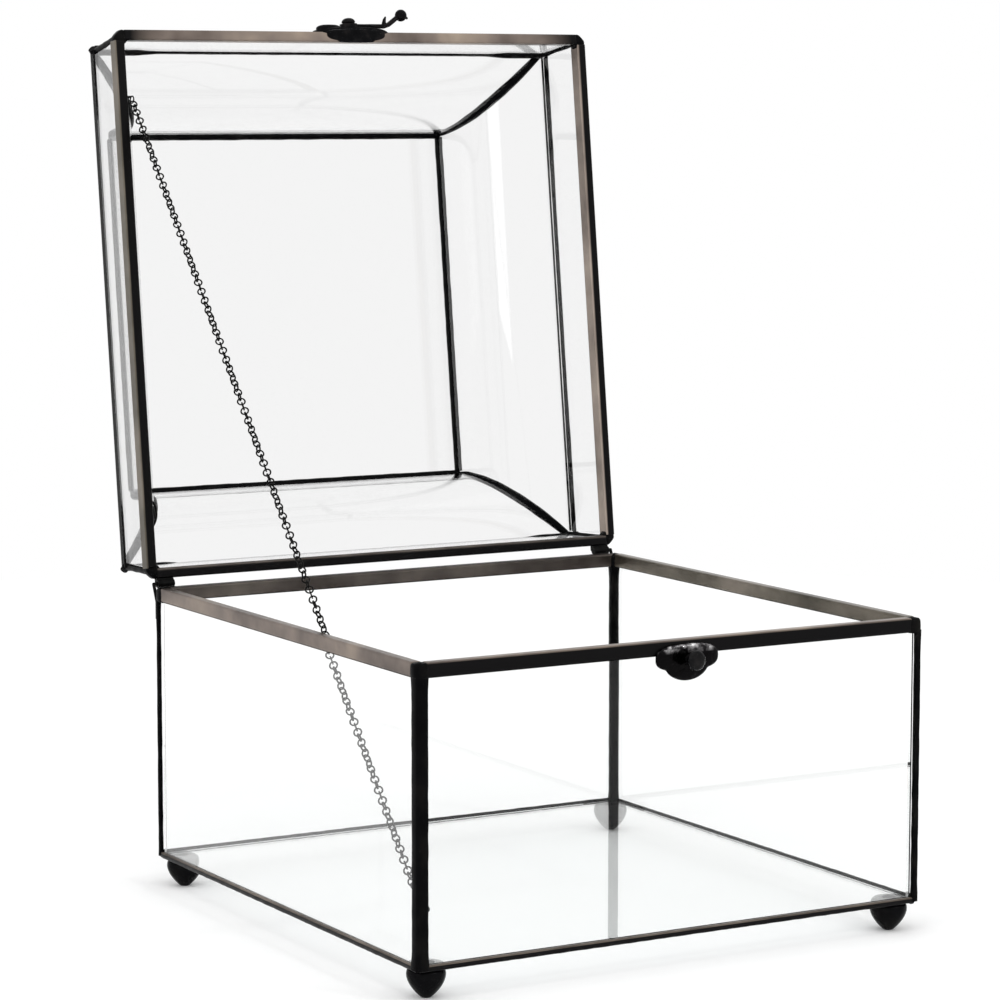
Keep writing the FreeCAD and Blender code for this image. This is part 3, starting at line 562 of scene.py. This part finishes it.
# Height of the top frame's middle, its half height and the gap at its ends
FRAME_MIDDLE = 90.9
FRAME_TALL = 3.1
FRAME_ENDS = 1.25
# For each side: shift inward and half width
FRAME_BEAD = {"front": (-0.4, 2.3), "back": (-0.4, 2.3), "left": (1.0, 1.4), "right": (1.0, 2.2)}
for side in SIDES:
    across = TOP_INSET["left" if side in ("front", "back") else "front"]
    middle, half = FRAME_BEAD[side]
    path = lid_run(side, TOP_INSET[side] + middle, across + FRAME_ENDS, FRAME_MIDDLE, 70)
    strip = bmesh.new()
    ways = [INWARD[side]] * len(path)
    bead(strip, path, lambda share, half=half: half, lambda share: FRAME_TALL, ways, [Z] * len(path),
         2.8, 16, 0.2, 6.0)
    finished("lid_top_frame_%s_bead" % side, strip, "lid", "black_solder", ["lid_top_frame_%s" % side], LID)

# For each side: inset and height of the bead's middle, half height, half width in its run and near its ends,
# and the share of its length that each end takes
SHOULDER_BEAD = {
    "front": (1.55, 35.6, 2.9, 1.45, 2.4, 0.13), "back": (1.55, 35.6, 2.9, 0.45, 1.6, 0.12),
    "left": (0.7, 33.8, 0.8, 0.45, 1.25, 0.16), "right": (0.1, 32.2, 1.5, 0.95, 1.3, 0.30)}
shoulder = bmesh.new()
for side in SIDES:
    inset, height, tall, thin, thick, end_share = SHOULDER_BEAD[side]
    path = lid_run(side, SHOULDER_IN + inset, SHOULDER_IN + 1.6, height, 110)

    def shoulder_wide(share, thin=thin, thick=thick, end_share=end_share):
        near = max(0.0, 1 - min(share, 1 - share) / end_share)
        return thin + (thick - thin) * min(1.0, 3.0 * near)

    ways = [INWARD[side]] * len(path)
    bead(shoulder, path, shoulder_wide, lambda share, tall=tall: tall, ways, [Z] * len(path),
         2.6, 14, 0.14, 5.0)
finished("lid_shoulder_beads", shoulder, "lid", "black_solder", ["lid_shoulder_seams"], LID)

rim_lumps = bmesh.new()
for sx, sy in CORNERS.values():
    out, along = Vector((sx, sy, 0)).normalized(), Vector((sx, -sy, 0)).normalized()
    low = Vector((sx * (LID_HALF - 3.8), sy * (LID_HALF - 3.8), 0.05))
    path = between(low, low + Z * (RAIL_HEIGHT - 0.9), 14)

    def lid_blob(share):
        return 3.0 * (1 - abs(2 * share - 1) ** 5) ** 0.35 + 0.2

    bead(rim_lumps, path, lambda share: 1.15 * lid_blob(share), lid_blob,
         [along] * len(path), [out] * len(path), 3.2, 24, 0.1, 4.0)
finished("lid_rim_corner_solder", rim_lumps, "lid", "black_solder", ["lid_rim_corners"], LID)

CORNER_HALF = 1.7
corner_beads = bmesh.new()
for sx, sy in CORNERS.values():
    low, high = 0.9 + 2.1 + 0.5, SHOULDER_IN + 2.1
    path = between(Vector((sx * (LID_HALF - low), sy * (LID_HALF - low), RAIL_HEIGHT - 0.5)),
                   Vector((sx * (LID_HALF - high), sy * (LID_HALF - high), SKIRT_TOP + 1.0)), 24)
    bead(corner_beads, path, lambda share: CORNER_HALF, lambda share: CORNER_HALF,
         [X] * len(path), [Y] * len(path), 2.4, 16, 0.18, 5.0)
finished("lid_skirt_corner_beads", corner_beads, "lid", "black_solder", ["lid_skirt_corner_seams"], LID)


# Stay chain: round links, every second one across, made by nodes along the taut line
CHAIN_LOW = STANDING @ Vector((-120.1, -120.1, 38.0))
CHAIN_HIGH = LID @ Vector((-122.2, -97.0, 2.2))
LINK_COUNT = 168
LINK_RING = 1.68
LINK_WIRE = 0.38
LINK_TWIST = math.radians(7.0)


def chain_tree():
    tree = bpy.data.node_groups.new("chain_links", "GeometryNodeTree")
    tree.interface.new_socket("Geometry", in_out="INPUT", socket_type="NodeSocketGeometry")
    names = ("Length", "Ring Radius", "Wire Radius", "Twist")
    for word in names:
        tree.interface.new_socket(word, in_out="INPUT", socket_type="NodeSocketFloat")
    tree.interface.new_socket("Links", in_out="INPUT", socket_type="NodeSocketInt")
    tree.interface.new_socket("Finish", in_out="INPUT", socket_type="NodeSocketMaterial")
    tree.interface.new_socket("Geometry", in_out="OUTPUT", socket_type="NodeSocketGeometry")
    nodes, links = links_in(tree)
    given = nodes.new("NodeGroupInput")
    out = nodes.new("NodeGroupOutput")

    def maths(operation, first, second):
        node = nodes.new("ShaderNodeMath")
        node.operation = operation
        for socket, value in zip(node.inputs, (first, second)):
            if isinstance(value, (int, float)):
                socket.default_value = value
            else:
                links.new(value, socket)
        return node.outputs[0]

    step = maths("DIVIDE", given.outputs["Length"], given.outputs["Links"])
    offset = nodes.new("ShaderNodeCombineXYZ")
    links.new(step, offset.inputs["Z"])
    line = nodes.new("GeometryNodeMeshLine")
    links.new(maths("SUBTRACT", given.outputs["Links"], 1), line.inputs["Count"])
    links.new(offset.outputs[0], line.inputs["Start Location"])
    links.new(offset.outputs[0], line.inputs["Offset"])
    ring = nodes.new("GeometryNodeCurvePrimitiveCircle")
    ring.inputs["Resolution"].default_value = 16
    links.new(given.outputs["Ring Radius"], ring.inputs["Radius"])
    wire = nodes.new("GeometryNodeCurvePrimitiveCircle")
    wire.inputs["Resolution"].default_value = 6
    links.new(given.outputs["Wire Radius"], wire.inputs["Radius"])
    link = nodes.new("GeometryNodeCurveToMesh")
    links.new(ring.outputs["Curve"], link.inputs["Curve"])
    links.new(wire.outputs["Curve"], link.inputs["Profile Curve"])
    index = nodes.new("GeometryNodeInputIndex").outputs[0]
    number = maths("ADD", index, 1)
    odd = maths("MULTIPLY", maths("MODULO", number, 2), math.pi / 2)
    roll = maths("ADD", odd, maths("MULTIPLY", number, given.outputs["Twist"]))
    turn = nodes.new("ShaderNodeCombineXYZ")
    turn.inputs["X"].default_value = math.pi / 2
    links.new(roll, turn.inputs["Z"])
    place = nodes.new("GeometryNodeInstanceOnPoints")
    links.new(line.outputs["Mesh"], place.inputs["Points"])
    links.new(link.outputs["Mesh"], place.inputs["Instance"])
    links.new(turn.outputs[0], place.inputs["Rotation"])
    real = nodes.new("GeometryNodeRealizeInstances")
    links.new(place.outputs["Instances"], real.inputs["Geometry"])
    smooth = nodes.new("GeometryNodeSetShadeSmooth")
    links.new(real.outputs["Geometry"], smooth.inputs["Geometry"])
    coat = nodes.new("GeometryNodeSetMaterial")
    links.new(smooth.outputs["Geometry"], coat.inputs["Geometry"])
    links.new(given.outputs["Finish"], coat.inputs["Material"])
    links.new(coat.outputs["Geometry"], out.inputs["Geometry"])
    return tree


def grown(name, tree, values):
    """Runs a node tree once and keeps its result as a plain mesh."""
    maker = bpy.data.objects.new(name + "_maker", bpy.data.meshes.new(name + "_maker"))
    bpy.context.scene.collection.objects.link(maker)
    growth = maker.modifiers.new("growth", "NODES")
    growth.node_group = tree
    for item in tree.interface.items_tree:
        if item.in_out == "INPUT" and item.name in values:
            growth[item.identifier] = values[item.name]
    bpy.context.view_layer.update()
    seen = maker.evaluated_get(bpy.context.evaluated_depsgraph_get())
    mesh = bpy.data.meshes.new_from_object(seen)
    bpy.data.objects.remove(maker)
    mesh.name = name
    return mesh


span = CHAIN_HIGH - CHAIN_LOW
links_mesh = grown("stay_chain_links", chain_tree(), {
    "Length": span.length * MM, "Ring Radius": LINK_RING * MM, "Wire Radius": LINK_WIRE * MM,
    "Twist": LINK_TWIST, "Links": LINK_COUNT, "Finish": FINISH["black_wire"]})
links_mesh.transform(Matrix.Translation(CHAIN_LOW * MM) @ span.to_track_quat("Z", "Y").to_matrix().to_4x4())
chain = bpy.data.objects.new("stay_chain_links", links_mesh)
bpy.context.scene.collection.objects.link(chain)
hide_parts("stay_chain")
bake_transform(chain)


# Cast fittings: joined shapes are melted together by a fine remesh
def melted(name, bm, voxel, rounds):
    """Joins overlapping closed shapes, in millimetres, into one soft casting."""
    mesh = bpy.data.meshes.new(name)
    bmesh.ops.recalc_face_normals(bm, faces=bm.faces)
    bm.to_mesh(mesh)
    bm.free()
    maker = bpy.data.objects.new(name, mesh)
    bpy.context.scene.collection.objects.link(maker)
    melt = maker.modifiers.new("melt", "REMESH")
    melt.mode = "VOXEL"
    melt.voxel_size = voxel
    ease = maker.modifiers.new("ease", "SMOOTH")
    ease.factor = 0.5
    ease.iterations = rounds
    bpy.context.view_layer.update()
    seen = maker.evaluated_get(bpy.context.evaluated_depsgraph_get())
    result = bmesh.new()
    cast = bpy.data.meshes.new_from_object(seen)
    result.from_mesh(cast)
    bpy.data.objects.remove(maker)
    return result


def slab(bm, outline, depth, crown, place, rows=6):
    """A pillow-fronted plate: outline in (x, y) about its middle, standing out along z."""
    rings = [[place @ Vector((x, y, 0.0)) for x, y in outline]]
    for k in range(rows + 1):
        angle = math.pi / 2 * k / rows
        shrink = 1 - (1 - math.cos(angle)) * 0.55
        height = depth - crown + crown * math.sin(angle)
        rings.append([place @ Vector((x * shrink, y * shrink, height)) for x, y in outline])
    skin(bm, rings)


FACING = Matrix.Rotation(math.pi / 2, 4, "X")
CATCH_X = 3.2
KNOB_Z = 134.3
CATCH_MIDDLE = 134.8
LOBE_MIDDLE = 132.7
CATCH_FACE = -128.0

PLATE_VOXEL = 0.3
HOOK_VOXEL = 0.22

catch = bmesh.new()
lozenge = [(15.75 * x, 5.9 * y) for x, y in squircle(64, 2.7)]
slab(catch, lozenge, 2.4, 1.2, Matrix.Translation((CATCH_X, CATCH_FACE, CATCH_MIDDLE)) @ FACING)
lobe = [(11.3 * math.cos(t * math.pi / 24), 8.0 * math.sin(t * math.pi / 24)) for t in range(48)]
slab(catch, lobe, 2.2, 1.2, Matrix.Translation((CATCH_X, CATCH_FACE, LOBE_MIDDLE)) @ FACING)
cast = melted("catch_plate_melt", catch, PLATE_VOXEL, 3)
finished("catch_plate_cast", cast, "base", "cast_fittings", ["catch_plate"], look=CATCH_FINISH)

KNOB_OUTLINE = [
    (0.0, 0.0), (2.0, 0.0), (2.0, 4.4), (3.3, 4.5), (4.1, 4.9), (4.4, 5.6), (4.25, 6.4), (3.8, 7.0),
    (3.0, 7.5), (1.9, 7.85), (0.8, 8.0), (0.0, 8.0)]
knob = bmesh.new()
turn_outline(knob, KNOB_OUTLINE, 40, Matrix.Translation((CATCH_X, CATCH_FACE - 2.4, KNOB_Z)) @ FACING)
finished("catch_knob_turned", knob, "base", "cast_fittings", ["catch_knob"], sharp=60.0,
         look=KNOB_FINISH)

LATCH_X = -3.0
LATCH_UP = 4.5
PIVOT = Matrix.Translation((LATCH_X, -LID_HALF - 2.0, LATCH_UP)) @ FACING
ON_RAIL = Matrix.Translation((LATCH_X, -LID_HALF, LATCH_UP)) @ FACING

plate = bmesh.new()
leaf = []
for i in range(72):
    angle = 2 * math.pi * i / 72
    c, s = math.cos(angle), math.sin(angle)
    narrow = 1 - 0.35 * abs(c) ** 3
    leaf.append((20.0 * math.copysign(abs(c) ** 0.9, c), 4.4 * s * narrow))
slab(plate, leaf, 2.0, 1.4, ON_RAIL)
LEFT_BLOCK = ON_RAIL @ Matrix.Translation((-11.2, 0, 0))
RIGHT_BLOCK = ON_RAIL @ Matrix.Translation((12.0, 0, 0))
slab(plate, [(6.4 * x, 3.6 * y) for x, y in squircle(40, 2.6)], 3.9, 1.7, LEFT_BLOCK)
slab(plate, [(6.5 * x, 3.2 * y) for x, y in squircle(40, 2.4)], 2.25, 1.0, RIGHT_BLOCK)
UNDER = Matrix.Translation((LATCH_X + 1.5, -LID_HALF + 1.3, 1.5)) @ Matrix.Rotation(math.pi, 4, "X")
slab(plate, [(18.5 * x, 3.9 * y) for x, y in squircle(56, 2.6)], 1.72, 0.6, UNDER)
cast = melted("latch_plate_melt", plate, PLATE_VOXEL, 3)
finished("latch_plate_cast", cast, "lid", "cast_fittings", ["latch_plate"], LID)

STUD_OUTLINE = [
    (0.0, 0.0), (1.8, 0.0), (1.8, 2.8), (2.9, 2.85), (3.35, 3.1), (3.4, 3.5), (3.1, 4.2), (2.5, 4.8),
    (1.7, 5.2), (0.8, 5.4), (0.0, 5.4)]
stud = bmesh.new()
turn_outline(stud, STUD_OUTLINE, 36, PIVOT)
finished("latch_stud_turned", stud, "lid", "cast_fittings", ["latch_stud"], LID, 60.0)


def tapered(bm, points, radii, flat, place):
    """A round-edged bar through points, flattened by the shares in flat."""
    path = [Vector(p) for p in points]
    ring_list = []
    outline = squircle(16, 2.6)
    for k, spot in enumerate(path):
        ahead = (path[min(k + 1, len(path) - 1)] - path[max(k - 1, 0)]).normalized()
        side = Vector((0, 1, 0))
        up = ahead.cross(side).normalized()
        across, thick = side * radii[k], up * (radii[k] * flat[k])
        ring_list.append([place @ (spot + across * a + thick * b) for a, b in outline])
    skin(bm, ring_list)


def ball(bm, centre, radius, place):
    made = bmesh.ops.create_uvsphere(bm, u_segments=24, v_segments=14, radius=radius)
    for vert in made["verts"]:
        vert.co = place @ (vert.co + Vector(centre))


HOOK_MID = 0.3 + 1.1
EYE = 4.4
hook = bmesh.new()
EYE_BORE = 0.46
EYE_LOW = 0.35
EYE_HIGH = 2.45
eye_outline = [(EYE * math.cos(math.pi * t / 24), EYE * math.sin(math.pi * t / 24)) for t in range(48)]
low_out = [PIVOT @ Vector((x, y, EYE_LOW)) for x, y in eye_outline]
high_out = [PIVOT @ Vector((x, y, EYE_HIGH)) for x, y in eye_outline]
low_in = [PIVOT @ Vector((x * EYE_BORE, y * EYE_BORE, EYE_LOW)) for x, y in eye_outline]
high_in = [PIVOT @ Vector((x * EYE_BORE, y * EYE_BORE, EYE_HIGH)) for x, y in eye_outline]
skin(hook, [low_out, high_out, high_in, low_in], closed=True)
# Along each bar: distance from the pivot, shift aside, rise, half width and thickness as a share of it
ARM = [
    (3.3, 0, 0, 2.5, 0.42), (8, 0, 0, 2.2, 0.48), (11, -0.8, 0, 1.5, 0.7), (14, -1.4, 0, 1.0, 1.0),
    (17, -0.7, 0, 1.6, 0.68), (19.5, 0, 0.1, 2.1, 0.55), (22, 0, 0.9, 1.7, 0.7), (24.5, 0, 2.6, 1.35, 0.9),
    (27, 0, 4.4, 1.2, 1.0), (29.3, 0, 5.4, 1.2, 1.0)]
THORN = [
    (19.6, 0, 0, 1.2, 1.0), (19.8, 0, 2.0, 1.0, 1.0), (20.2, 0, 3.6, 0.75, 1.0), (20.9, 0, 5.0, 0.35, 1.0)]
BEAK = [(30.5, 0, 5.4, 1.1, 1.0), (32.0, 0, 4.9, 0.8, 1.0), (33.2, 0, 4.0, 0.5, 1.0)]
BALL_AT = (29.5, 0, HOOK_MID + 5.6)
BALL_RADIUS = 3.0


def hook_bar(rows):
    points = [(far, aside, HOOK_MID + rise) for far, aside, rise, _, _ in rows]
    tapered(hook, points, [row[3] for row in rows], [row[4] for row in rows], PIVOT)


hook_bar(ARM)
hook_bar(THORN)
ball(hook, BALL_AT, BALL_RADIUS, PIVOT)
hook_bar(BEAK)
cast = melted("latch_hook_melt", hook, HOOK_VOXEL, 2)
finished("latch_hook_cast", cast, "latch_hook", "cast_fittings", ["latch_hook"], LID)


# Camera at the photograph's place
eye_place = Vector((-0.79958, -1.35586 - ROW_ORIGIN_Y * MM, 0.37279))
right = Vector((0.865477, -0.500947, 0.000811))
up = Vector((0.057257, 0.100530, 0.993285))
ahead = Vector((0.497665, 0.859619, -0.115689))
lens = bpy.data.cameras.new("camera")
lens.sensor_width = 36.0
lens.lens = 124.89
lens.clip_end = 50.0
camera = bpy.data.objects.new("camera", lens)
camera.matrix_world = Matrix((
    (right.x, up.x, -ahead.x, eye_place.x),
    (right.y, up.y, -ahead.y, eye_place.y),
    (right.z, up.z, -ahead.z, eye_place.z),
    (0, 0, 0, 1)))
bpy.context.scene.collection.objects.link(camera)
bpy.context.scene.camera = camera

# Pale floor, soft studio light and a white surround
FLOOR_RADIUS = 1.1
floor_mesh = bpy.data.meshes.new("floor")
FLOOR_SIDES = 96
edge = []
for i in range(FLOOR_SIDES):
    angle = 2 * math.pi * i / FLOOR_SIDES
    edge.append((FLOOR_RADIUS * math.cos(angle), FLOOR_RADIUS * math.sin(angle), 0))
floor_mesh.from_pydata(edge, [], [tuple(range(FLOOR_SIDES))])
floor = bpy.data.objects.new("floor", floor_mesh)
bpy.context.scene.collection.objects.link(floor)
pale, nodes, links, shader = finish("pale_floor")
shader.inputs["Base Color"].default_value = (0.985, 0.985, 0.985, 1)
shader.inputs["Roughness"].default_value = 0.9
shader.inputs["Specular IOR Level"].default_value = 0.0
floor_mesh.materials.append(pale)

# White all round
world = bpy.data.worlds.new("white_surround")
world.use_nodes = True
bpy.context.scene.world = world
white = world.node_tree.nodes["Background"]
white.inputs["Color"].default_value = (1, 1, 1, 1)
white.inputs["Strength"].default_value = 1.0


def softbox(name, place, aim, wide, tall, power):
    lamp = bpy.data.lights.new(name, "AREA")
    lamp.shape = "RECTANGLE"
    lamp.size = wide
    lamp.size_y = tall
    lamp.energy = power
    box = bpy.data.objects.new(name, lamp)
    box.location = place
    box.rotation_euler = (Vector(aim) - Vector(place)).to_track_quat("-Z", "Y").to_euler()
    bpy.context.scene.collection.objects.link(box)


softbox("softbox_above", (-0.4, -0.5, 2.2), (0, 0, 0.1), 1.2, 1.2, 4.0)
softbox("softbox_left", (-2.0, -0.6, 1.0), (0, 0, 0.2), 0.6, 1.2, 4.0)
softbox("softbox_right", (0.9, -1.7, 1.5), (0, 0, 0.2), 0.09, 0.09, 3.5)

bpy.context.scene.view_settings.view_transform = "Standard"
